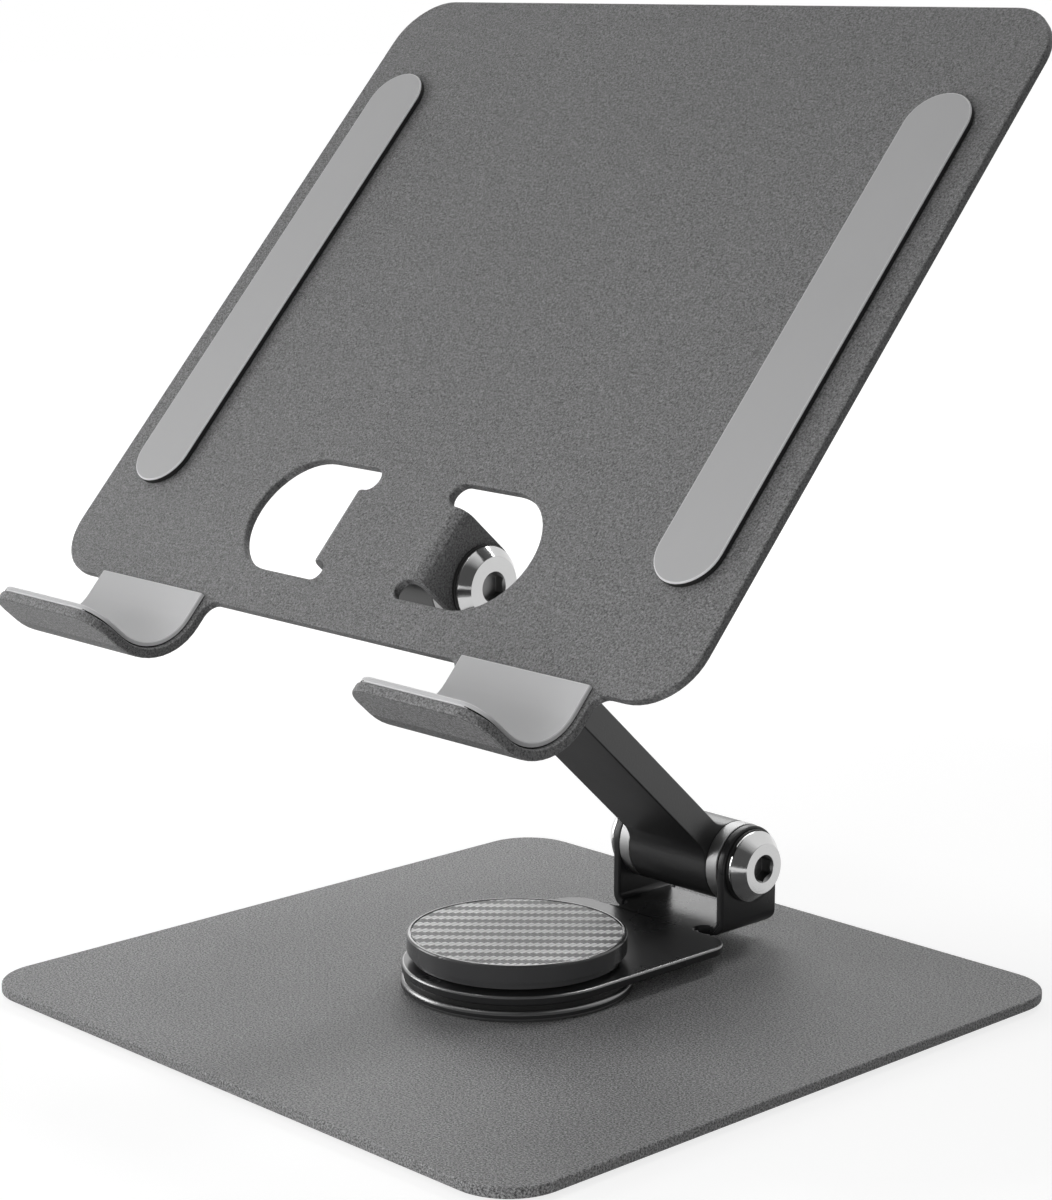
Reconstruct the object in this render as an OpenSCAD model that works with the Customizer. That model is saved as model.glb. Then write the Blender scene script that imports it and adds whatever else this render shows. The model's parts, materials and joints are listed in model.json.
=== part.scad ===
// Folding tablet stand: a square base, a swivel bracket, a two-hinge arm and a bent-sheet tablet plate.
// Millimetres. +Z is up, the tablet faces -Y, and the origin is under the middle of the base.

/* [Base] */
// Width and depth of the square base plate
base_w = 160; // [140:1:200]
// Thickness of the base plate
base_t = 2.2; // [1.6:0.1:4]
// Corner radius of the base plate
base_corner_r = 12; // [4:0.5:24]
// Diameter of each rubber foot
foot_d = 16; // [8:0.5:24]
// Height of the rubber feet
foot_t = 1; // [0.6:0.1:3]
// Distance from the base's edge to a foot's centre
foot_inset = 16; // [13:0.5:24]

/* [Swivel] */
// Distance of the swivel axis in front of the base's middle
swivel_front = 1; // [0:0.1:4]
// Radius of the steel turntable disc on the base
turntable_r = 24.2; // [20:0.1:34]
// Thickness of the turntable disc
turntable_t = 2.3; // [1:0.1:3]
// Thickness of the plastic washer between turntable and bracket
swivel_washer_t = 1.15; // [0.6:0.05:3]
// Thickness of the plastic washer on top of the bracket
clamp_washer_t = 0.5; // [0.3:0.1:0.8]
// Radius of the steel disc that clamps the stack and carries the cap
clamp_disc_r = 20; // [16:0.5:20.5]
// Thickness of the clamp disc
clamp_disc_t = 1.5; // [1:0.1:2]
// Outer radius of the bearing sleeve that the bracket turns on
bush_r = 5; // [4.5:0.1:7]
// Thread diameter of the pivot screw
screw_d = 6; // [5:0.5:7]
// Head diameter of the countersunk pivot screw
screw_head_d = 12; // [10.5:0.5:14]
// Hexagon size of the socket in the pivot screw
screw_socket_af = 4; // [3:0.5:4.5]
// Thickness of the spring washer under the nut
wave_washer_t = 0.5; // [0.3:0.1:0.6]
// Hexagon size of the pivot nut
nut_af = 10; // [9:0.5:13]
// Height of the pivot nut
nut_h = 2.3; // [1.6:0.1:2.4]

/* [Hub cap] */
// Outer radius of the cap over the pivot
cap_r = 22.9; // [22:0.1:24.5]
// Height of the cap
cap_h = 5.3; // [5.2:0.1:9]
// Gap between the bracket and the cap's rim
cap_gap = 0.8; // [0.4:0.1:1.2]
// Height of the cap's narrower foot
cap_foot_h = 1.6; // [0.8:0.1:2.4]
// Width of the glossy rim round the inlay
cap_rim_w = 0.7; // [0.4:0.1:2]
// Thickness of the patterned inlay disc
inlay_t = 0.4; // [0.3:0.1:0.6]
// Radius of the cap's upper edge
cap_edge_r = 0.5; // [0.2:0.1:0.6]

/* [Swivel bracket] */
// Sheet thickness of the bracket
bracket_t = 2; // [1.5:0.1:2.4]
// Radius of the bracket's round end
bracket_end_r = 24; // [22:0.1:32]
// Width of the bracket's neck
neck_w = 48; // [42:0.2:54]
// Distance from the swivel axis to the neck's rear edge
neck_l = 40.7; // [36:0.1:42]
// Radius of the neck's rear corners
neck_corner_r = 6; // [1:0.5:8]
// Reach of the bend reliefs into the web, from the ear's inner face
relief_reach = 3.3; // [2:0.1:5]
// Radius of an ear's round end, half its width
ear_r = 8.6; // [8:0.1:10]
// Corner radius at the rear foot of each ear
ear_foot_r = 2; // [1:0.5:4]
// Height of the lower hinge axis above the bracket's flat
hinge_rise = 12.6; // [12:0.1:18]
// Distance from the swivel axis back to the lower hinge axis
hinge_y = 53.7; // [52.5:0.1:60]
// Inner bend radius of the folded ears
ear_bend_r = 1.2; // [0.6:0.1:2]

/* [Arm] */
// Distance between the two hinge axes
arm_l = 107; // [95:0.5:125]
// Width of the arm and of its barrels
arm_w = 22.8; // [20:0.1:26]
// Thickness of the bar between the barrels
arm_t = 6.5; // [5:0.1:9]
// Radius of the barrels
barrel_r = 8.75; // [8.2:0.05:9]
// Radius of the fillets between bar and barrels
arm_fillet_r = 6; // [2:0.5:10]
// Angle of the arm above level at rest
arm_angle = 42.6; // [35:0.1:60]

/* [Hinge hardware] */
// Radius of the hinge shafts
shaft_r = 4; // [3.4:0.1:4.4]
// Outer radius of the plastic bushes in the barrels
hinge_bush_r = 5; // [4.8:0.1:6]
// Thickness of a friction washer between barrel and ear
friction_washer_t = 3; // [1.5:0.1:4]
// Thickness of the dark washer under each bolt head
bolt_washer_t = 0.7; // [0.4:0.1:1.5]
// Radius of a bolt head at its rim
head_r = 7.75; // [7.2:0.05:8.3]
// Radius of the flat on the lower bolts' heads
lower_flat_r = 5.5; // [4:0.1:6.6]
// Radius of the flat on the upper bolts' heads
upper_flat_r = 6; // [4:0.1:6.6]
// Height of the bolt head's straight rim
head_rim_h = 0.65; // [0.3:0.05:1.5]
// Height of a head's cone for each millimetre that its radius shrinks
head_cone_slope = 1.15; // [0.6:0.05:1.6]
// Hexagon size of the bolt's socket
socket_af = 5; // [3:0.5:6]
// Thickness of the head below its socket
socket_floor = 0.4; // [0.3:0.1:1]
// Thread radius of the hinge bolts
bolt_r = 2.5; // [2:0.1:2.9]
// Length of the hinge bolts below the head
bolt_l = 12; // [8:0.5:14]

/* [Tablet plate] */
// Width of the tablet plate
plate_w = 180.6; // [165:0.2:210]
// Height of the tablet plate
plate_h = 157.4; // [140:0.1:190]
// Sheet thickness of the tablet plate
plate_t = 2; // [1.5:0.1:2.4]
// Corner radius of the tablet plate
plate_corner_r = 12; // [4:0.5:16]
// Recline of the plate from upright at rest
recline = 42.2; // [30:0.1:55]
// Height of the upper hinge axis above the plate's lower edge
hinge_v = 22.5; // [20:0.1:30]
// Distance from the plate's front face back to the upper hinge axis
hinge_back = 13.7; // [12.5:0.1:18]
// Radius of a plate ear's round end, half its width
tray_ear_r = 8.6; // [7:0.1:9]
// Half the height of the cut-outs that the ears are folded from, and their end radius
slot_r = 13.4; // [11.5:0.1:16]
// Height of the cut-outs' middle above the upper hinge axis
slot_rise = 0.4; // [0:0.1:1]
// Distance from the plate's middle to the far end of a cut-out
slot_end_x = 40; // [36:0.5:50]

/* [Hooks] */
// Distance from the plate's middle to a hook's middle
hook_x = 54.7; // [50:0.1:66]
// Width of each hook
hook_w = 35; // [24:0.5:40]
// Straight drop of the hook below the plate before its bend
hook_drop = 5.3; // [4:0.1:12]
// Inner bend radius of the hook
hook_r = 12; // [6:0.5:16]
// Reach of the hook in front of the plate
hook_reach = 21.2; // [20:0.1:30]
// Radius of the hook's two outer corners
hook_corner_r = 6; // [1:0.5:8]
// Radius of the inner corners where a hook meets the plate
hook_root_r = 3; // [1:0.5:4]

/* [Silicone pads] */
// Width of the two long strips
strip_w = 15; // [8:0.5:24]
// Thickness of the strips
strip_t = 1.5; // [0.8:0.1:3]
// Distance from the plate's middle to a strip's middle
strip_x = 76; // [66:0.5:76]
// Height of the strips' lower end above the plate's lower edge
strip_v0 = 23.1; // [14:0.1:40]
// Height of the strips' upper end above the plate's lower edge
strip_v1 = 135; // [90:0.1:138]
// Thickness of the hook liners
liner_t = 1.2; // [0.8:0.1:2.5]
// Bare margin of the hook beside its liner
liner_margin = 1; // [0.5:0.1:4]
// Height of the liners' upper edge above the plate's lower edge
liner_top = 0.8; // [0:0.1:10]

/* [Hidden] */
$fn = 96;

// Clearances
running_gap = 0.05;  // radial, round a pin or shaft that turns
seat_gap = 0.03;     // between parts that are pressed, screwed or glued together
washer_setback = 0.4; // of the swivel washer's rim from the discs it lies between
shaft_end_gap = 0.3; // so that the bolts clamp the ears and not the shaft
inlay_sink = 0.12;   // of the inlay's face below the cap's rim
over = 1;            // how far a cut runs past the face that it opens
blend = 0.01;        // how far the arm's hollow corners bite into its barrels

// Heights of the swivel stack, from the table up
base_z0 = foot_t;
base_z1 = base_z0 + base_t;
turntable_z1 = base_z1 + turntable_t;
bracket_z0 = turntable_z1 + swivel_washer_t;
bracket_z1 = bracket_z0 + bracket_t;
clamp_disc_z0 = bracket_z1 + clamp_washer_t;
clamp_disc_z1 = clamp_disc_z0 + clamp_disc_t;
nut_z0 = clamp_disc_z1 + wave_washer_t;
nut_z1 = nut_z0 + nut_h;
cap_z0 = bracket_z1 + cap_gap;
cap_z1 = cap_z0 + cap_h;
inlay_z0 = cap_z1 - inlay_sink - inlay_t;

// Swivel stack radii
clamp_washer_overhang = 1;
nut_flange = 0.6;
nut_room_side = 1;
nut_room_top = 0.2;
cap_foot_inset = 1.2;
screw_socket_depth = 2;
swivel_washer_r = min(turntable_r, bracket_end_r) - washer_setback;
clamp_washer_r = clamp_disc_r - clamp_washer_overhang;
wave_washer_r = nut_af / 2 + nut_flange;
nut_room_r = nut_af / sqrt(3) + nut_room_side;
nut_room_z1 = nut_z1 + nut_room_top;
inlay_groove = 0.25; // round the inlay, in the cap's rim
inlay_seat_r = cap_r - cap_rim_w;
screw_head_h = (screw_head_d - screw_d) / 2;

// Stations along a hinge axis, from the middle outwards
barrel_x = arm_w / 2;
ear_x0 = barrel_x + friction_washer_t;
bracket_ear_x1 = ear_x0 + bracket_t;
plate_ear_x1 = ear_x0 + plate_t;
ear_bore_r = shaft_r + seat_gap;
bolt_bore_r = bolt_r + seat_gap;

// Details of the bolt heads
bolt_washer_overhang = 0.2;
socket_lead = 0.6; // depth of the cone at a socket's mouth

// Hinge axes
hinge_z = bracket_z1 + hinge_rise;
lower_y = hinge_y - swivel_front;
upper_y = lower_y - arm_l * cos(arm_angle);
upper_z = hinge_z + arm_l * sin(arm_angle);

// Folds of the ears
bend_x = ear_x0 - ear_bend_r;
bracket_bend_r1 = ear_bend_r + bracket_t;
plate_bend_r1 = ear_bend_r + plate_t;
ear_y0 = hinge_y - ear_r;
ear_y1 = hinge_y + ear_r;
web_y1 = ear_y1 - ear_foot_r;
relief_r = (ear_y0 - neck_l) / 2;
relief_x = ear_x0 - relief_reach + relief_r;
slot_centre_x = slot_end_x - slot_r;

// Hook outline
hook_bend_r1 = hook_r + plate_t;
hook_end_corner_r = min(hook_corner_r, hook_reach - hook_r - 0.5);
liner_r0 = hook_r - seat_gap - liner_t;
liner_w = hook_w - 2 * liner_margin;
liner_reach = hook_reach - 0.2;
liner_corner_r = max(hook_end_corner_r - liner_margin, 0.5);

// ---- Helpers ----

// Extrudes a side view, drawn as Y across and Z up, along X and centred on it
module along_x(w) {
    rotate([90, 0, 90])
        linear_extrude(w, center = true)
            children();
}

// A cylinder along +X that starts at x0
module x_cylinder(x0, h, r1, r2) {
    translate([x0, 0, 0])
        rotate([0, 90, 0])
            cylinder(h = h, r1 = r1, r2 = r2);
}

module ring(r_out, r_in, h) {
    linear_extrude(h)
        difference() {
            circle(r_out);
            circle(r_in);
        }
}

// A rectangle from corner [x0, y0] with all four corners rounded
module rounded_box_2d(x0, y0, w, h, r) {
    translate([x0 + r, y0])
        square([w - 2 * r, h]);
    translate([x0, y0 + r])
        square([w, h - 2 * r]);
    for (x = [x0 + r, x0 + w - r], y = [y0 + r, y0 + h - r])
        translate([x, y])
            circle(r);
}

// A quarter of a flat ring in the corner where x and y are both positive
module quarter_ring_2d(r0, r1) {
    intersection() {
        difference() {
            circle(r1);
            circle(r0);
        }
        square(r1 + over);
    }
}

module both_sides() {
    for (side = [0, 1])
        mirror([side, 0, 0])
            children();
}

module on_swivel() {
    translate([0, -swivel_front, 0])
        children();
}

module on_lower_hinge() {
    translate([0, lower_y, hinge_z])
        children();
}

module on_upper_hinge() {
    translate([0, upper_y, upper_z])
        children();
}

// The plate's own frame: X across, Y up the plate, Z out of its front face, origin on the lower edge
module on_plate() {
    on_upper_hinge()
        rotate([90 - recline, 0, 0])
            translate([0, -hinge_v, hinge_back])
                children();
}

// ---- Base and swivel ----

module base_plate() {
    color("dimgray")
        translate([0, 0, base_z0])
            difference() {
                linear_extrude(base_t)
                    rounded_box_2d(-base_w / 2, -base_w / 2, base_w, base_w, base_corner_r);
                on_swivel()
                    countersink(base_t + seat_gap);
            }
}

// The cone that the pivot screw's head sits in, cut through a sheet of thickness t
module countersink(t) {
    head_r0 = screw_head_d / 2 + seat_gap;
    translate([0, 0, -seat_gap])
        cylinder(h = t + seat_gap, r1 = head_r0 + seat_gap, r2 = max(head_r0 - t, screw_d / 2 + seat_gap));
}

module base_feet() {
    foot_xy = base_w / 2 - foot_inset;
    color([0.08, 0.08, 0.08])
        for (x = [-foot_xy, foot_xy], y = [-foot_xy, foot_xy])
            translate([x, y, 0])
                cylinder(h = foot_t, d = foot_d);
}

module turntable_disc() {
    head_room_r = max(screw_head_d / 2 - base_t, screw_d / 2) + 2 * seat_gap;
    color([0.12, 0.12, 0.12])
        translate([0, 0, base_z1])
            ring(turntable_r, head_room_r, turntable_t);
}

module swivel_washer() {
    color([0.05, 0.05, 0.05])
        translate([0, 0, turntable_z1])
            ring(swivel_washer_r, bush_r + running_gap, swivel_washer_t);
}

module pivot_bush() {
    color("tan")
        translate([0, 0, turntable_z1])
            ring(bush_r, screw_d / 2 + seat_gap, clamp_disc_z0 - turntable_z1);
}

module pivot_screw() {
    socket_r = screw_socket_af / sqrt(3);
    color("silver")
        translate([0, 0, base_z0])
            difference() {
                union() {
                    cylinder(h = screw_head_h, r1 = screw_head_d / 2, r2 = screw_d / 2);
                    cylinder(h = nut_z1 - base_z0, d = screw_d);
                }
                translate([0, 0, -over])
                    cylinder(h = screw_socket_depth + over, r = socket_r, $fn = 6);
            }
}

module clamp_washer() {
    color([0.05, 0.05, 0.05])
        translate([0, 0, bracket_z1])
            ring(clamp_washer_r, bush_r + running_gap, clamp_washer_t);
}

module clamp_disc() {
    color("gray")
        translate([0, 0, clamp_disc_z0])
            ring(clamp_disc_r, screw_d / 2 + seat_gap, clamp_disc_t);
}

module wave_washer() {
    color("silver")
        translate([0, 0, clamp_disc_z1])
            ring(wave_washer_r, screw_d / 2 + seat_gap, wave_washer_t);
}

module pivot_nut() {
    color("silver")
        translate([0, 0, nut_z0])
            difference() {
                cylinder(h = nut_h, r = nut_af / sqrt(3), $fn = 6);
                translate([0, 0, -over])
                    cylinder(h = nut_h + 2 * over, r = screw_d / 2 + seat_gap);
            }
}

// The cap's half section, turned round the swivel axis
module hub_cap() {
    color([0.06, 0.06, 0.06])
        rotate_extrude()
            difference() {
                hub_cap_half_2d();
                // Seat on the clamp disc
                translate([0, cap_z0 - over])
                    square([clamp_disc_r + seat_gap, clamp_disc_z1 - cap_z0 + over]);
                // Room for the nut
                translate([0, cap_z0 - over])
                    square([nut_room_r, nut_room_z1 - cap_z0 + over]);
                // Recess for the inlay
                translate([0, inlay_z0])
                    square([inlay_seat_r, inlay_t + over]);
            }
}

module hub_cap_half_2d() {
    foot_r = cap_r - cap_foot_inset;
    translate([0, cap_z0])
        polygon([[0, 0], [foot_r, 0], [foot_r, cap_foot_h], [cap_r, cap_foot_h],
                 [cap_r, cap_h - cap_edge_r], [cap_r - cap_edge_r, cap_h], [0, cap_h]]);
    translate([cap_r - cap_edge_r, cap_z1 - cap_edge_r])
        intersection() {
            circle(cap_edge_r);
            square(cap_edge_r);
        }
}

module cap_inlay() {
    color("gray")
        translate([0, 0, inlay_z0])
            cylinder(h = inlay_t, r = inlay_seat_r - inlay_groove);
}

// ---- Swivel bracket ----

module swivel_bracket() {
    color([0.13, 0.13, 0.13])
        union() {
            translate([0, 0, bracket_z0])
                linear_extrude(bracket_t)
                    bracket_flat_2d();
            both_sides()
                bracket_ear();
        }
}

// The bracket's flat: round end, neck and the web between the ears, less the pivot bore and bend reliefs
module bracket_flat_2d() {
    difference() {
        union() {
            circle(bracket_end_r);
            translate([-neck_w / 2, 0])
                square([neck_w, neck_l - neck_corner_r]);
            rounded_box_2d(-neck_w / 2, neck_l / 2, neck_w, neck_l / 2, neck_corner_r);
            translate([-bend_x, neck_l - over])
                square([2 * bend_x, web_y1 - neck_l + over]);
        }
        circle(bush_r + running_gap);
        both_sides()
            bend_relief_2d();
    }
}

module bend_relief_2d() {
    translate([relief_x, neck_l + relief_r]) {
        circle(relief_r);
        translate([0, -relief_r])
            square([neck_w, 2 * relief_r]);
    }
}

// One upright ear with its fold, trimmed to the ear's side view
module bracket_ear() {
    intersection() {
        translate([0, ear_y1, 0])
            rotate([90, 0, 0])
                linear_extrude(2 * ear_r)
                    bracket_ear_section_2d();
        along_x(2 * (bracket_ear_x1 + over))
            bracket_ear_side_2d();
    }
}

// The folded sheet seen from behind, with X across and Z up
module bracket_ear_section_2d() {
    fold_z = bracket_z0 + bracket_bend_r1;
    translate([bend_x, fold_z])
        mirror([0, 1])
            quarter_ring_2d(ear_bend_r, bracket_bend_r1);
    translate([ear_x0, fold_z])
        square([bracket_t, hinge_z + ear_r + over - fold_z]);
}

// The ear's outline, with a rounded corner at its rear foot
module bracket_ear_side_2d() {
    difference() {
        union() {
            translate([hinge_y, hinge_z])
                circle(ear_r);
            translate([ear_y0, bracket_z0])
                square([2 * ear_r - ear_foot_r, hinge_z - bracket_z0]);
            translate([ear_y0, bracket_z0 + ear_foot_r])
                square([2 * ear_r, hinge_z - bracket_z0 - ear_foot_r]);
            translate([web_y1, bracket_z0 + ear_foot_r])
                circle(ear_foot_r);
        }
        translate([hinge_y, hinge_z])
            circle(ear_bore_r);
    }
}

// ---- Arm ----

module arm() {
    color([0.1, 0.1, 0.1])
        on_lower_hinge()
            rotate([180 - arm_angle, 0, 0])
                difference() {
                    union() {
                        along_x(arm_w)
                            arm_bar_2d();
                        arm_barrels(0, barrel_r);
                    }
                    arm_barrels(over, hinge_bush_r + seat_gap);
                }
}

// Both barrels, or with extra length their bores
module arm_barrels(extra, r) {
    for (y = [0, arm_l])
        translate([0, y, 0])
            x_cylinder(-barrel_x - extra, arm_w + 2 * extra, r, r);
}

// The bar between the barrels, with a hollow corner where it meets each of them
module arm_bar_2d() {
    dy = arm_t / 2 + arm_fillet_r;
    dx = sqrt(pow(barrel_r + arm_fillet_r - blend, 2) - dy * dy);
    difference() {
        polygon([[0, 0], [dx, dy], [arm_l - dx, dy], [arm_l, 0], [arm_l - dx, -dy], [dx, -dy]]);
        for (side = [0, 1])
            mirror([0, side]) {
                for (x = [dx, arm_l - dx])
                    translate([x, dy])
                        circle(arm_fillet_r);
                translate([dx, arm_t / 2])
                    square([arm_l - 2 * dx, arm_fillet_r + over]);
            }
    }
}

// ---- Hinge hardware, drawn round the X axis ----

module hinge_bush() {
    color("ivory")
        difference() {
            x_cylinder(-barrel_x, arm_w, hinge_bush_r, hinge_bush_r);
            x_cylinder(-barrel_x - over, arm_w + 2 * over, shaft_r + running_gap, shaft_r + running_gap);
        }
}

module friction_washers() {
    color("darkgray")
        both_sides()
            difference() {
                x_cylinder(barrel_x, friction_washer_t, barrel_r, barrel_r);
                x_cylinder(barrel_x - over, friction_washer_t + 2 * over,
                           shaft_r + running_gap, shaft_r + running_gap);
            }
}

// A threaded sleeve through both ears, which end at ear_x1
module hinge_shaft(ear_x1) {
    half_l = ear_x1 - shaft_end_gap;
    color("silver")
        difference() {
            x_cylinder(-half_l, 2 * half_l, shaft_r, shaft_r);
            x_cylinder(-half_l - over, 2 * (half_l + over), bolt_bore_r, bolt_bore_r);
        }
}

module bolt_washers(ear_x1) {
    washer_r = head_r + bolt_washer_overhang;
    color([0.1, 0.1, 0.1])
        both_sides()
            difference() {
                x_cylinder(ear_x1, bolt_washer_t, washer_r, washer_r);
                x_cylinder(ear_x1 - over, bolt_washer_t + 2 * over, bolt_bore_r, bolt_bore_r);
            }
}

// Cone-headed bolts with a hexagon socket, for ears that end at ear_x1
module hinge_bolts(ear_x1, flat_r) {
    head_x0 = ear_x1 + bolt_washer_t;
    cone_x0 = head_x0 + head_rim_h;
    cone_h = (head_r - flat_r) * head_cone_slope;
    head_x1 = cone_x0 + cone_h;
    socket_x0 = head_x0 + socket_floor;
    mouth_r = socket_af / 2 + socket_lead + over;
    color("gainsboro")
        both_sides()
            difference() {
                union() {
                    x_cylinder(head_x0 - bolt_l, bolt_l + over / 2, bolt_r, bolt_r);
                    x_cylinder(head_x0, head_rim_h, head_r, head_r);
                    x_cylinder(cone_x0, cone_h, head_r, flat_r);
                }
                translate([socket_x0, 0, 0])
                    rotate([0, 90, 0])
                        cylinder(h = head_x1 - socket_x0 + over, r = socket_af / sqrt(3), $fn = 6);
                x_cylinder(head_x1 - socket_lead, socket_lead + over, socket_af / 2, mouth_r);
            }
}

// ---- Tablet plate ----

module tablet_plate() {
    color("dimgray")
        on_plate()
            union() {
                translate([0, 0, -plate_t])
                    linear_extrude(plate_t)
                        plate_flat_2d();
                both_sides() {
                    plate_ear();
                    translate([hook_x, 0, 0])
                        hook_sheet(hook_w, hook_r, hook_bend_r1, hook_reach, hook_end_corner_r);
                }
            }
}

// Front view of the plate with its two cut-outs and the straight roots of the hooks
module plate_flat_2d() {
    difference() {
        union() {
            rounded_box_2d(-plate_w / 2, 0, plate_w, plate_h, plate_corner_r);
            both_sides()
                translate([hook_x, 0])
                    hook_root_2d();
        }
        both_sides()
            slot_2d();
    }
}

// The hook's straight root, with a hollow corner on each side
module hook_root_2d() {
    translate([-hook_w / 2, -hook_drop])
        square([hook_w, hook_drop + over]);
    both_sides()
        translate([hook_w / 2, -hook_root_r])
            difference() {
                square([hook_root_r, hook_root_r + over]);
                translate([hook_root_r, 0])
                    circle(hook_root_r);
            }
}

// The D-shaped cut-out round a folded ear, with a round notch on each side of the fold
module slot_2d() {
    slot_v = hinge_v + slot_rise;
    translate([bend_x, slot_v - slot_r])
        square([slot_centre_x - bend_x, 2 * slot_r]);
    translate([slot_centre_x, slot_v])
        circle(slot_r);
    for (side = [-1, 1]) {
        notch_r = (slot_r + side * slot_rise - tray_ear_r) / 2;
        translate([bend_x, hinge_v + side * (tray_ear_r + notch_r)])
            circle(notch_r);
    }
}

// One ear folded back out of a cut-out
module plate_ear() {
    fold_back = plate_bend_r1;
    translate([bend_x, hinge_v - tray_ear_r, -fold_back])
        rotate([90, 0, 0])
            translate([0, 0, -2 * tray_ear_r])
                linear_extrude(2 * tray_ear_r)
                    quarter_ring_2d(ear_bend_r, plate_bend_r1);
    translate([ear_x0 + plate_t / 2, 0, 0])
        along_x(plate_t)
            difference() {
                union() {
                    translate([hinge_v, -hinge_back])
                        circle(tray_ear_r);
                    translate([hinge_v - tray_ear_r, -hinge_back])
                        square([2 * tray_ear_r, hinge_back - fold_back]);
                }
                translate([hinge_v, -hinge_back])
                    circle(ear_bore_r);
            }
}

// The bend and the shelf of a hook, between radii r0 and r1 round the hook's bend axis
module hook_sheet(w, r0, r1, reach, corner_r) {
    translate([0, -hook_drop, hook_r]) {
        along_x(w)
            rotate(180)
                quarter_ring_2d(r0, r1);
        translate([0, -r0, 0])
            rotate([90, 0, 0])
                linear_extrude(r1 - r0)
                    difference() {
                        rounded_box_2d(-w / 2, -corner_r, w, reach - hook_r + corner_r, corner_r);
                        translate([-w, -2 * corner_r])
                            square([2 * w, 2 * corner_r]);
                    }
    }
}

// ---- Silicone pads ----

module strip_pads() {
    color("darkgray")
        on_plate()
            both_sides()
                translate([strip_x, 0, 0])
                    linear_extrude(strip_t)
                        strip_2d();
}

module strip_2d() {
    end_r = strip_w / 2;
    translate([-end_r, strip_v0 + end_r])
        square([strip_w, strip_v1 - strip_v0 - strip_w]);
    for (y = [strip_v0 + end_r, strip_v1 - end_r])
        translate([0, y])
            circle(end_r);
}

module hook_liners() {
    color("silver")
        on_plate()
            both_sides()
                translate([hook_x, 0, 0]) {
                    translate([-liner_w / 2, -hook_drop, seat_gap])
                        cube([liner_w, hook_drop + liner_top, liner_t]);
                    hook_sheet(liner_w, liner_r0, liner_r0 + liner_t, liner_reach, liner_corner_r);
                }
}

base_plate();
base_feet();
on_swivel() turntable_disc();
on_swivel() swivel_washer();
on_swivel() pivot_bush();
on_swivel() pivot_screw();
on_swivel() clamp_washer();
on_swivel() clamp_disc();
on_swivel() wave_washer();
on_swivel() pivot_nut();
on_swivel() hub_cap();
on_swivel() cap_inlay();
on_swivel() swivel_bracket();
on_lower_hinge() hinge_shaft(bracket_ear_x1);  // lower_hinge_shaft
on_lower_hinge() hinge_bolts(bracket_ear_x1, lower_flat_r);  // lower_hinge_bolts
on_lower_hinge() bolt_washers(bracket_ear_x1);  // lower_bolt_washers
arm();
on_lower_hinge() hinge_bush();  // lower_hinge_bush
on_upper_hinge() hinge_bush();  // upper_hinge_bush
on_lower_hinge() friction_washers();  // lower_friction_washers
on_upper_hinge() friction_washers();  // upper_friction_washers
tablet_plate();
on_upper_hinge() hinge_shaft(plate_ear_x1);  // upper_hinge_shaft
on_upper_hinge() hinge_bolts(plate_ear_x1, upper_flat_r);  // upper_hinge_bolts
on_upper_hinge() bolt_washers(plate_ear_x1);  // upper_bolt_washers
strip_pads();
hook_liners();
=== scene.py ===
"""Looks for the folding tablet stand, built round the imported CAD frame.

Everything is in metres, in the CAD's own frame: +Z is up and the tablet's side faces -Y. Most
visible nodes are shown by copies of their meshes with rounded edges, in the same place. All
materials are procedural and laid out in object coordinates, which are metres too.
"""
import json
import math

import bmesh
import bpy
from mathutils import Matrix, Vector
from mathutils.bvhtree import BVHTree

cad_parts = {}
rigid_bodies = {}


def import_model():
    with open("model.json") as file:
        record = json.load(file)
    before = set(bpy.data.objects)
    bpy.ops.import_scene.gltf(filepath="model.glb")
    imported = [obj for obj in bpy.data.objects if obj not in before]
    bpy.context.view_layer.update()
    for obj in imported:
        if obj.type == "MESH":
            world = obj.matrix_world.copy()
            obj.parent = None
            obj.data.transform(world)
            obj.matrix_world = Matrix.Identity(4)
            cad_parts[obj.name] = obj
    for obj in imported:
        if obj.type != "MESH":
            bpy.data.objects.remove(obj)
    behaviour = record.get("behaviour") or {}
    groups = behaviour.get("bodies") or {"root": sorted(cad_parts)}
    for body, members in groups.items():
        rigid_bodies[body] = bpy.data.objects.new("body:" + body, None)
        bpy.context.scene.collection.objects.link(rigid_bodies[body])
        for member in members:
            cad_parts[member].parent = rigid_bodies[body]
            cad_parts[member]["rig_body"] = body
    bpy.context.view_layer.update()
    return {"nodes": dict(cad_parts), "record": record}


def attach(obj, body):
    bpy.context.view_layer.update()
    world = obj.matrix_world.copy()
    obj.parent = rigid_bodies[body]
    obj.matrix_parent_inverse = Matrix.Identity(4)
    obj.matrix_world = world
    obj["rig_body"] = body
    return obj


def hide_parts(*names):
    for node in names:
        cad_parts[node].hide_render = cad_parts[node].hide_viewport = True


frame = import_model()
NODES = frame["nodes"]
SLOTS = {s["node"]: s["material_slot"] for s in frame["record"]["subparts"]}
MM = 0.001
WHITE = (1.0, 1.0, 1.0, 1.0)

# A point on each hinge axis, both of which run along X, and how the tablet plate stands
LOWER_AXIS = (0.0, 0.0527, 0.02125)
UPPER_AXIS = (0.0, -0.026062, 0.093676)
PLATE_LEAN = math.radians(47.8)
PLATE_NORMAL = Vector((0.0, -math.sin(PLATE_LEAN), math.cos(PLATE_LEAN)))
PLATE_DOWN = Vector((0.0, -math.cos(PLATE_LEAN), -math.sin(PLATE_LEAN)))


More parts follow.
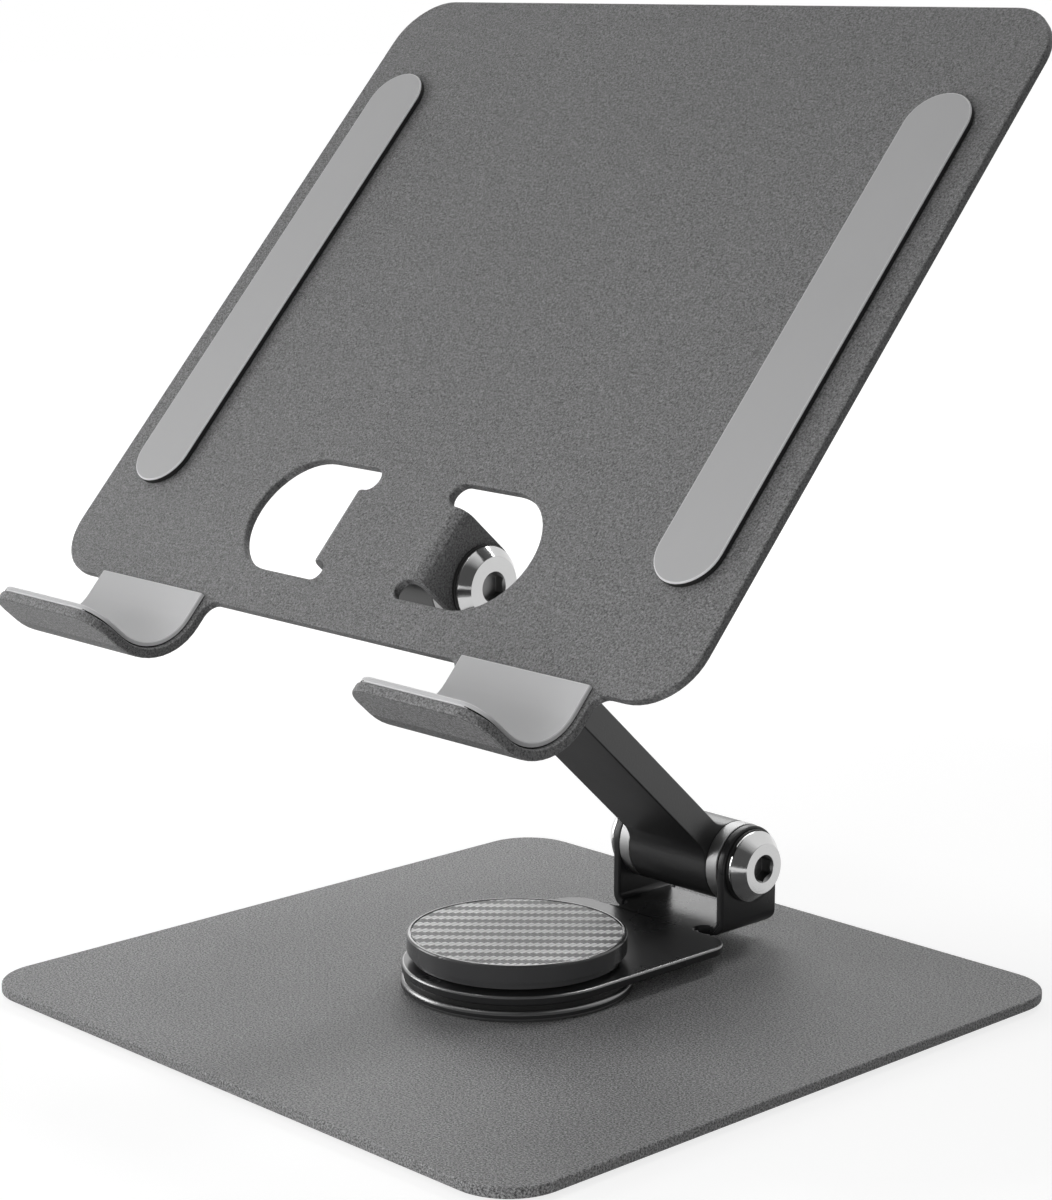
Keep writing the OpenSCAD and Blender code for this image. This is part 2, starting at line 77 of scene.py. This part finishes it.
# ---------------------------------------------------------------- node helpers
class Graph:
    """A node tree under construction. Its methods take sockets or plain values."""

    def __init__(self, tree, coords):
        self.tree = tree
        self.coords = self.add("ShaderNodeTexCoord").outputs[coords]

    def put(self, socket, value):
        if isinstance(value, bpy.types.NodeSocket):
            self.tree.links.new(value, socket)
        else:
            socket.default_value = value

    def add(self, kind, inputs=None, **props):
        node = self.tree.nodes.new(kind)
        for key, value in props.items():
            setattr(node, key, value)
        for key, value in (inputs or {}).items():
            self.put(node.inputs[key], value)
        return node

    def math(self, op, a, b=0.0):
        return self.add("ShaderNodeMath", {0: a, 1: b}, operation=op).outputs[0]

    def times(self, a, b):
        return self.math("MULTIPLY", a, b)

    def plus(self, a, b):
        return self.math("ADD", a, b)

    def vary(self, fac, amount, low):
        """low where fac is 0, and more by amount where it is 1."""
        return self.plus(self.times(fac, amount), low)

    def swing(self, fac, amount):
        """From minus to plus half the amount as fac goes from 0 to 1."""
        return self.times(self.math("SUBTRACT", fac, 0.5), amount)

    def pick(self, fac, a, b):
        """a where fac is 0, and b where it is 1."""
        return self.add("ShaderNodeMix", {0: fac, 2: a, 3: b}, data_type="FLOAT").outputs[0]

    def noise(self, scale, detail=2.0, rough=0.5):
        """Noise with scale cells to the metre."""
        inputs = {"Vector": self.coords, "Scale": scale, "Detail": detail, "Roughness": rough}
        return self.add("ShaderNodeTexNoise", inputs).outputs["Fac"]

    def grey(self, value, blue=None):
        """A neutral colour. Where blue is given, its blue channel is multiplied by it."""
        tint = value if blue is None else self.times(value, blue)
        inputs = {"Red": value, "Green": value, "Blue": tint}
        return self.add("ShaderNodeCombineColor", inputs).outputs[0]


class Mat(Graph):
    """A material with one Principled shader."""

    def __init__(self, name):
        self.mat = bpy.data.materials.new(name)
        self.mat.use_nodes = True
        super().__init__(self.mat.node_tree, "Object")
        self.bsdf = self.tree.nodes["Principled BSDF"]

    def bump(self, height, strength, distance):
        inputs = {"Height": height, "Strength": strength, "Distance": distance}
        self.put(self.bsdf.inputs["Normal"], self.add("ShaderNodeBump", inputs).outputs["Normal"])

    def shader(self, color, rough, metal=0.0, spec=None, ior=None):
        values = {"Base Color": color, "Roughness": rough, "Metallic": metal,
                  "Specular IOR Level": spec, "IOR": ior}
        for key, value in values.items():
            if value is not None:
                self.put(self.bsdf.inputs[key], value)
        return self.mat


# ---------------------------------------------------------------- materials
FLAKE_CELLS = 1500.0    # to the metre
FLAKE_RADIUS = 0.34     # in cells
FLAKE_DRAW = 0.84       # a cell has a flake where its random number is above this
FLAKE_TONE = 0.30
MEAN_TONE, LOWEST_TONE = 0.97, 0.15
SATIN_RELIEF = 0.06 * MM
RING_RELIEF = 0.01 * MM
SKIN_RELIEF = 0.03 * MM


def powder_coat(name, level, speck, rough, relief):
    """Fine-grained powder coat: grains in the height and the tone, and a few brighter flakes."""
    m = Mat(name)
    grain = m.noise(2500.0, 2.0, 0.6)
    fine = m.noise(5200.0, 1.0, 0.5)
    cloud = m.noise(14.0, 3.0, 0.5)
    mixed = m.plus(m.times(grain, 0.7), m.times(fine, 0.3))
    cells = m.add("ShaderNodeTexVoronoi", {"Vector": m.coords, "Scale": FLAKE_CELLS}).outputs
    draw = m.add("ShaderNodeSeparateColor", {0: cells["Color"]}).outputs[0]
    near = m.math("LESS_THAN", cells["Distance"], FLAKE_RADIUS)
    flake = m.times(m.times(near, m.math("GREATER_THAN", draw, FLAKE_DRAW)), FLAKE_TONE)
    tone = m.plus(m.plus(m.swing(mixed, speck), m.swing(cloud, 0.10)), flake)
    value = m.times(m.math("MAXIMUM", m.plus(tone, MEAN_TONE), LOWEST_TONE), level)
    m.bump(mixed, 1.0, relief)
    return m.shader(m.grey(value, 1.01), m.vary(grain, 0.18, rough - 0.09), spec=0.35)


def black_satin(name, level, rough, spec=0.5, grain=0.12, ior=1.5):
    """Satin black coat over metal with a barely visible orange peel."""
    m = Mat(name)
    peel = m.noise(1800.0)
    smear = m.noise(60.0, 3.0, 0.6)
    value = m.times(m.vary(smear, 0.3, 0.85), level)
    m.bump(peel, grain, SATIN_RELIEF)
    return m.shader(m.grey(value, 1.03), m.vary(smear, 0.10, rough - 0.05), spec=spec, ior=ior)


def turned_steel(name, level, rough, axis="X", pitch=0.22 * MM, depth=0.25, centre=(0.0, 0.0, 0.0)):
    """Steel with the fine rings that turning leaves round an axis through the centre."""
    m = Mat(name)
    moved = m.add("ShaderNodeVectorMath", {0: m.coords, 1: centre}, operation="SUBTRACT").outputs[0]
    part = m.add("ShaderNodeSeparateXYZ", {0: moved}).outputs
    squares = [m.times(part[k], part[k]) for k in "XYZ" if k != axis]
    radius = m.math("SQRT", m.plus(*squares))
    rings = m.math("SINE", m.times(radius, 2 * math.pi / pitch))
    grit = m.noise(3000.0)
    smear = m.noise(180.0, 3.0, 0.6)
    value = m.times(m.vary(smear, 0.12, 0.94), level)
    m.bump(m.plus(m.times(rings, 0.5), m.times(grit, 0.35)), depth, RING_RELIEF)
    return m.shader(m.grey(value), m.vary(smear, 0.10, rough - 0.05), metal=1.0)


def silicone(name, level):
    """Matte silicone with a very fine moulded skin."""
    m = Mat(name)
    skin = m.noise(4200.0, 2.0, 0.6)
    cloud = m.noise(30.0)
    value = m.times(m.vary(cloud, 0.06, 0.97), level)
    m.bump(skin, 0.10, SKIN_RELIEF)
    m.put(m.bsdf.inputs["Sheen Weight"], 0.15)
    return m.shader(m.grey(value, 1.01), m.vary(skin, 0.08, 0.58), spec=0.35)


def plain_plastic(name, level, rough, spec=0.5):
    """Moulded plastic or rubber with a faint skin."""
    m = Mat(name)
    skin = m.noise(1500.0)
    value = m.times(m.vary(skin, 0.08, 0.96), level)
    m.bump(skin, 0.08, SKIN_RELIEF)
    return m.shader(m.grey(value, 0.99), m.vary(skin, 0.06, rough - 0.03), spec=spec)


YARN = 1.03 * MM        # the width of one yarn
REPEAT = 6.0            # yarns in one repeat of the twill
WARP_TONE, WEFT_TONE = 0.98, 0.21
WEAVE_RELIEF = 0.16 * MM


def weave(name):
    """Grey 3 x 3 twill. Its yarns lie along X and Y, so the ribs run at 45 degrees."""
    m = Mat(name)
    part = m.add("ShaderNodeSeparateXYZ", {0: m.coords}).outputs
    u, v = m.math("DIVIDE", part["X"], YARN), m.math("DIVIDE", part["Y"], YARN)
    cell_u, cell_v = m.math("FLOOR", u), m.math("FLOOR", v)

    def step(a, b):
        return m.math("FLOORED_MODULO", m.math("SUBTRACT", a, b), REPEAT)

    def half_wave(turn):
        return m.math("SINE", m.times(turn, math.pi))

    def height_of(across, along):
        """A yarn is round across its width and arched along its float."""
        arch = m.math("ABSOLUTE", half_wave(m.math("DIVIDE", along, REPEAT)))
        return m.times(half_wave(m.math("FRACT", across)), m.vary(arch, 0.5, 0.5))

    warp_up = m.math("LESS_THAN", step(cell_u, cell_v), REPEAT / 2 - 0.5)
    height = m.pick(warp_up, height_of(v, step(u, cell_v)), height_of(u, step(v, cell_u)))
    tone = m.pick(warp_up, WEFT_TONE, WARP_TONE)
    fibre = m.noise(2500.0, 2.0, 0.6)
    value = m.times(tone, m.plus(m.times(height, 0.5), m.vary(fibre, 0.3, 0.4)))
    m.bump(height, 1.0, WEAVE_RELIEF)
    return m.shader(m.grey(value), 0.40, spec=0.25)


MATERIALS = {
    "grey_coat": powder_coat("grey_coat", 0.201, 4.6, 0.55, 0.22 * MM),
    # The base's coat: the plate's grey coat painted lighter for the light on the level base, with
    # coarser grain
    "grey_coat_base_lit": powder_coat("grey_coat_base_lit", 0.250, 7.0, 0.55, 0.30 * MM),
    # A darker copy of the grey coat: painted shade on the sheet's cut edges
    "coat_wall_shade": powder_coat("coat_wall_shade", 0.130, 4.6, 0.55, 0.22 * MM),
    "black_coat": black_satin("black_coat", 0.023, 0.28, spec=0.30, grain=0.20),
    # A lighter, more reflective copy of the black coat: a painted highlight on rounded edges
    "black_edge_highlight": black_satin("black_edge_highlight", 0.04, 0.28, grain=0.6, ior=2.6),
    "black_bar": black_satin("black_bar", 0.016, 0.32, grain=0.35, ior=1.65),
    "lower_steel": turned_steel("lower_steel", 0.58, 0.14, centre=LOWER_AXIS),
    "upper_steel": turned_steel("upper_steel", 0.58, 0.14, centre=UPPER_AXIS),
    # A darker, duller copy of the steel: painted shade inside the hex sockets
    "socket_shade_steel": turned_steel("socket_shade_steel", 0.22, 0.38),
    "plain_steel": turned_steel("plain_steel", 0.55, 0.35, axis="Z"),
    "washer_grey": turned_steel("washer_grey", 0.46, 0.52, pitch=0.4 * MM, depth=0.15),
    "washer_black": plain_plastic("washer_black", 0.012, 0.45),
    "bush_white": plain_plastic("bush_white", 0.70, 0.40),
    "cap_black": black_satin("cap_black", 0.052, 0.13, spec=0.7, grain=0.05),
    "inlay_weave": weave("inlay_weave"),
    "grey_silicone": silicone("grey_silicone", 0.525),
    # A lighter copy of the silicone on the rounded edges of the strips and liners: a painted
    # highlight
    "pad_edge_highlight": silicone("pad_edge_highlight", 0.80),
    # A near-black copy of the silicone: painted shade on the strips' walls and beside the liners
    "pad_wall_shade": plain_plastic("pad_wall_shade", 0.018, 0.65, spec=0.3),
    "liner_silicone": silicone("liner_silicone", 0.64),
    "black_rubber": plain_plastic("black_rubber", 0.02, 0.70, spec=0.3),
}
# All other nodes take the material that has the name of their slot
OWN_MATERIALS = {
    "base_plate": "grey_coat_base_lit",
    "hook_liners": "liner_silicone",
    "lower_hinge_bolts": "lower_steel",
    "upper_hinge_bolts": "upper_steel",
}


def material_of(node):
    return MATERIALS[OWN_MATERIALS.get(node, SLOTS[node])]


def paint(mesh, material):
    mesh.materials.clear()
    mesh.materials.append(material)


# ---------------------------------------------------------------- faces with a second material: painted shade and painted highlights
# Directions are compared by the part of a face's unit normal that points that way, and areas are in
# square metres
WALL_TILT = 0.15        # a wall or a flat side is off square by less than this
SHADE_LINE_HEIGHT = 0.30 * MM    # the height of the painted shade line beside a liner
LINER_SIDE = 3e-6       # a liner's flat side is larger than this
LINER_EDGE_X = 0.3      # and the rounded edges round that side look more sideways than this
CUT_FACING = 0.80       # a cut edge's face looks sideways or down by more than this
CUT_TILT = 0.3          # the sheet's lower edges lean by less than this
CUT_AREA = 2e-4         # and are smaller than this
NECK_END = 0.0396       # the Y where the bracket's reliefs and ears begin
BRACKET_TOP = 9.0 * MM  # just above its flat part
BRIGHT_TILT = 0.25      # its painted edge highlight looks upwards by more than this
SOCKET_R = 3.3 * MM     # just outside the corners of the hex sockets
SOCKET_LIP = 0.1 * MM   # a socket's faces lie deeper than this below the bolt's outer face


def paint_shade_on_walls(mesh):
    """Painted shade: the side strips' walls are painted near black, under the lighter rounded edge.
    """
    mesh.materials.append(MATERIALS["pad_wall_shade"])
    for face in mesh.polygons:
        if face.normal.dot(PLATE_NORMAL) < WALL_TILT:
            face.material_index = 2


def paint_shade_line_on_liners(mesh):
    """Painted shade: a thin dark line on the hook liners, next to the sheet."""
    mesh.materials.append(MATERIALS["pad_wall_shade"])
    sheet = NODES["tablet_plate"].data
    tree = BVHTree.FromPolygons([v.co.copy() for v in sheet.vertices],
                                [tuple(f.vertices) for f in sheet.polygons])
    bm = bmesh.new()
    bm.from_mesh(mesh)
    sides = [f for f in bm.faces
             if abs(f.normal.x) > 1.0 - WALL_TILT and f.calc_area() > LINER_SIDE]
    rims = bmesh.ops.inset_individual(bm, faces=sides, thickness=SHADE_LINE_HEIGHT, use_even_offset=True)
    edges = [f for f in bm.faces if f.material_index == 1 and abs(f.normal.x) > LINER_EDGE_X]
    for face in rims["faces"] + edges:
        if tree.find_nearest(face.calc_center_median())[3] < SHADE_LINE_HEIGHT:
            face.material_index = 2
    bm.to_mesh(mesh)
    bm.free()


def paint_shade_on_cut_edges(mesh):
    """Painted shade: the cut edges of the sheet that look sideways or down are painted darker."""
    mesh.materials.append(MATERIALS["coat_wall_shade"])
    for face in mesh.polygons:
        normal = face.normal
        sideways = abs(normal.x) > CUT_FACING
        down = normal.dot(PLATE_DOWN) > CUT_FACING and abs(normal.dot(PLATE_NORMAL)) < CUT_TILT
        if sideways or (down and face.area < CUT_AREA):
            face.material_index = 1


def keep_low_edge_highlights(mesh):
    """Only the bracket's round front keeps the painted edge highlight. Its reliefs and ears stay
    dark.
    """
    for face in mesh.polygons:
        centre = face.center
        low = face.normal.z > BRIGHT_TILT and centre.z < BRACKET_TOP and centre.y < NECK_END
        if face.material_index == 1 and not low:
            face.material_index = 0


def paint_shade_in_sockets(mesh, axis):
    """Painted shade: the inside of the bolts' hex sockets takes a darker, duller steel."""
    mesh.materials.append(MATERIALS["socket_shade_steel"])
    inner = max(abs(v.co.x) for v in mesh.vertices) - SOCKET_LIP
    for face in mesh.polygons:
        off = math.hypot(face.center.y - axis[1], face.center.z - axis[2])
        if off < SOCKET_R and abs(face.center.x) < inner:
            face.material_index = 1


# Which faces of a node get painted shade or keep a painted highlight
PAINTED_LIGHT_MARKS = {
    "strip_pads": paint_shade_on_walls,
    "hook_liners": paint_shade_line_on_liners,
    "tablet_plate": paint_shade_on_cut_edges,
    "swivel_bracket": keep_low_edge_highlights,
    "lower_hinge_bolts": lambda mesh: paint_shade_in_sockets(mesh, LOWER_AXIS),
    "upper_hinge_bolts": lambda mesh: paint_shade_in_sockets(mesh, UPPER_AXIS),
}

# ---------------------------------------------------------------- edge-rounded pieces
SEGMENTS = 3
SHARP = math.radians(28.0)      # edges sharper than this are rounded
FLAT = math.radians(0.4)        # and those flatter than this are dissolved first
MERGE = 2e-6                    # points closer than this are joined
UNCLAMPED = ("swivel_bracket", "tablet_plate")  # rounded without Blender's overlap limit
# The weight of large faces in the normals at their corners. At 100 they alone count.
NORMAL_WEIGHTS = {"swivel_bracket": 100, "turntable_disc": 100, "hub_cap": 100}
NORMAL_WEIGHT = 60
# Lighter or more reflective materials on the rounded edges: painted highlights
EDGE_HIGHLIGHTS = {
    "swivel_bracket": "black_edge_highlight",
    "turntable_disc": "black_edge_highlight",
    "hub_cap": "black_edge_highlight",
    "strip_pads": "pad_edge_highlight",
    "hook_liners": "pad_edge_highlight",
}
EDGE_RADII = {
    "base_plate": 0.45 * MM,
    "tablet_plate": 0.40 * MM,
    "swivel_bracket": 0.48 * MM,
    "turntable_disc": 0.80 * MM,
    "arm": 0.35 * MM,
    "hub_cap": 0.45 * MM,
    "cap_inlay": 0.10 * MM,
    "strip_pads": 0.30 * MM,
    "hook_liners": 0.28 * MM,
    "lower_hinge_bolts": 0.15 * MM,
    "upper_hinge_bolts": 0.15 * MM,
    "lower_friction_washers": 0.20 * MM,
    "upper_friction_washers": 0.20 * MM,
    "lower_bolt_washers": 0.15 * MM,
    "upper_bolt_washers": 0.15 * MM,
    "base_feet": 0.25 * MM,
    "swivel_washer": 0.15 * MM,
}


def apply_modifiers(obj):
    depsgraph = bpy.context.evaluated_depsgraph_get()
    baked = bpy.data.meshes.new_from_object(obj.evaluated_get(depsgraph))
    obj.modifiers.clear()
    obj.data = baked


def join_flat_areas(mesh):
    """Joins the triangles of flat areas, and shades the mesh smooth."""
    bm = bmesh.new()
    bm.from_mesh(mesh)
    bmesh.ops.remove_doubles(bm, verts=bm.verts, dist=MERGE)
    bmesh.ops.dissolve_limit(bm, angle_limit=FLAT, verts=bm.verts, edges=bm.edges)
    bmesh.ops.recalc_face_normals(bm, faces=bm.faces)
    for face in bm.faces:
        face.smooth = True
    bm.to_mesh(mesh)
    bm.free()


def rounded(node):
    """Shows a CAD node by a copy whose sharp edges are rounded inwards, in that node's place."""
    src = NODES[node]
    mesh = src.data.copy()
    mesh.name = node + "_rounded"
    join_flat_areas(mesh)
    obj = bpy.data.objects.new(node + ".rounded", mesh)
    bpy.context.scene.collection.objects.link(obj)
    paint(mesh, material_of(node))
    bevel = obj.modifiers.new("edge", "BEVEL")
    bevel.width = EDGE_RADII[node]
    bevel.segments = SEGMENTS
    bevel.limit_method = "ANGLE"
    bevel.angle_limit = SHARP
    bevel.use_clamp_overlap = node not in UNCLAMPED
    bevel.miter_outer = "MITER_ARC"
    # The rounded edges of these nodes take a painted highlight
    if node in EDGE_HIGHLIGHTS:
        mesh.materials.append(MATERIALS[EDGE_HIGHLIGHTS[node]])
        bevel.material = 1
    apply_modifiers(obj)
    if node in PAINTED_LIGHT_MARKS:
        PAINTED_LIGHT_MARKS[node](obj.data)
    weight = obj.modifiers.new("normals", "WEIGHTED_NORMAL")
    weight.keep_sharp = False
    weight.weight = NORMAL_WEIGHTS.get(node, NORMAL_WEIGHT)
    apply_modifiers(obj)
    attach(obj, src["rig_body"])
    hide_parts(node)


for node_name, node_object in NODES.items():
    if node_name in EDGE_RADII:
        rounded(node_name)
    else:
        paint(node_object.data, material_of(node_name))


# ---------------------------------------------------------------- floor, light and camera
FLOOR_HALF = 6.0
FLOOR_Z = -0.05 * MM            # just under the feet
FLOOR_TONE, FLOOR_ROUGH = 0.35, 0.9
GLOW_NEAR, GLOW_FAR = (0.25, 0.78), (0.80, 1.0)      # distance from the origin, strength
AMBIENT = 0.12
BACKDROP_SIDE = (-0.60, 0.62, 0.50)
ROOM_DARK, ROOM_BRIGHT = (-0.20, 0.11), (0.35, 1.0)  # how far towards the backdrop, strength
AIM = (0.0, -0.02, 0.08)
LAMPS = (                       # name, place, side of its square in metres, watts
    ("near_left", (-0.5, -0.3, 0.2), 0.35, 1.6),
    ("near_left_back", (-0.45, 0.35, 0.35), 0.35, 0.93),
    ("near_front", (0.25, -0.40, 0.10), 0.30, 0.52),
    ("front", (0.10, -0.40, 0.08), 0.25, 0.48),
    ("over_front", (-0.31, -0.26, 1.13), 0.14, 1.0),
    ("over_back", (0.0, 0.67, 0.99), 0.20, 2.4),
)
DIFFUSE_ONLY = ("near_front", "front")  # these don't show in reflections
CAMERA_AZ_EL_ROLL = (46.0774, 11.7131, 0.1201)      # degrees
CAMERA_PLACE = (0.42789, -0.41071, 0.20750)
FOCAL_PIXELS, PHOTO_HEIGHT = 2988.963, 1200
SENSOR = 36.0                   # millimetres
CLIP = (0.01, 50.0)


def between(graph, value, low, high):
    """low and high are pairs: a value, and the result that it gives."""
    inputs = {"Value": value, "From Min": low[0], "From Max": high[0],
              "To Min": low[1], "To Max": high[1]}
    return graph.add("ShaderNodeMapRange", inputs).outputs[0]


def white_floor():
    """A pale floor that glows for the camera and in reflections, but doesn't light the object.

    The glow is weaker round the object, so that its shadow shows, and full further away.
    """
    mesh = bpy.data.meshes.new("floor")
    sides = ((-1, -1), (1, -1), (1, 1), (-1, 1))
    corners = [(x * FLOOR_HALF, y * FLOOR_HALF, FLOOR_Z) for x, y in sides]
    mesh.from_pydata(corners, [], [(0, 1, 2, 3)])
    floor = bpy.data.objects.new("floor", mesh)
    bpy.context.scene.collection.objects.link(floor)
    m = Mat("floor_white")
    path = m.add("ShaderNodeLightPath").outputs
    seen = m.math("MAXIMUM", path["Is Camera Ray"], path["Is Glossy Ray"])
    away = m.add("ShaderNodeVectorMath", {0: m.coords}, operation="LENGTH").outputs["Value"]
    strength = m.times(seen, between(m, away, GLOW_NEAR, GLOW_FAR))
    glow = m.add("ShaderNodeEmission", {"Color": WHITE, "Strength": strength})
    m.shader((FLOOR_TONE, FLOOR_TONE, FLOOR_TONE, 1.0), FLOOR_ROUGH, spec=0.0)
    total = m.add("ShaderNodeAddShader", {0: m.bsdf.outputs[0], 1: glow.outputs[0]})
    m.put(m.tree.nodes["Material Output"].inputs["Surface"], total.outputs[0])
    mesh.materials.append(m.mat)


def studio_world():
    """White for the camera, and a dim even light on the object.

    Reflections show a white backdrop behind and above the object, and a dim room in front of it.
    """
    world = bpy.data.worlds.new("studio")
    bpy.context.scene.world = world
    world.use_nodes = True
    g = Graph(world.node_tree, "Generated")
    path = g.add("ShaderNodeLightPath").outputs
    seen = g.math("MAXIMUM", path["Is Camera Ray"], path["Is Transmission Ray"])
    inputs = {0: g.coords, 1: Vector(BACKDROP_SIDE).normalized()}
    side = g.add("ShaderNodeVectorMath", inputs, operation="DOT_PRODUCT").outputs["Value"]
    mirrored = g.times(path["Is Glossy Ray"], between(g, side, ROOM_DARK, ROOM_BRIGHT))
    plain = g.times(g.math("SUBTRACT", 1.0, path["Is Glossy Ray"]), AMBIENT)
    back = g.tree.nodes["Background"]
    g.put(back.inputs["Color"], WHITE)
    g.put(back.inputs["Strength"], g.math("MAXIMUM", g.plus(mirrored, plain), seen))


def lamp(name, place, size, power):
    """A square area lamp that the camera doesn't see."""
    light = bpy.data.lights.new(name, "AREA")
    light.shape = "RECTANGLE"
    light.size = light.size_y = size
    light.energy = power
    obj = bpy.data.objects.new(name, light)
    bpy.context.scene.collection.objects.link(obj)
    obj.location = place
    obj.rotation_euler = (Vector(AIM) - Vector(place)).to_track_quat("-Z", "Y").to_euler()
    obj.visible_camera = False
    obj.visible_glossy = name not in DIFFUSE_ONLY


def camera():
    """The photograph's view, as fitted to it."""
    az, el, roll = (math.radians(angle) for angle in CAMERA_AZ_EL_ROLL)
    back = Vector((math.sin(az) * math.cos(el), -math.cos(az) * math.cos(el), math.sin(el)))
    level_right = Vector((math.cos(az), math.sin(az), 0.0))
    level_up = back.cross(level_right)
    right = math.cos(roll) * level_right + math.sin(roll) * level_up
    up = -math.sin(roll) * level_right + math.cos(roll) * level_up
    data = bpy.data.cameras.new("photo_view")
    data.sensor_width = SENSOR
    data.sensor_fit = "AUTO"
    data.lens = FOCAL_PIXELS / PHOTO_HEIGHT * SENSOR
    data.clip_start, data.clip_end = CLIP
    obj = bpy.data.objects.new("photo_view", data)
    bpy.context.scene.collection.objects.link(obj)
    turn = Matrix((right, up, back)).transposed().to_4x4()
    obj.matrix_world = Matrix.Translation(CAMERA_PLACE) @ turn
    bpy.context.scene.camera = obj


white_floor()
studio_world()
for lamp_row in LAMPS:
    lamp(*lamp_row)
camera()
bpy.context.scene.view_settings.view_transform = "Standard"
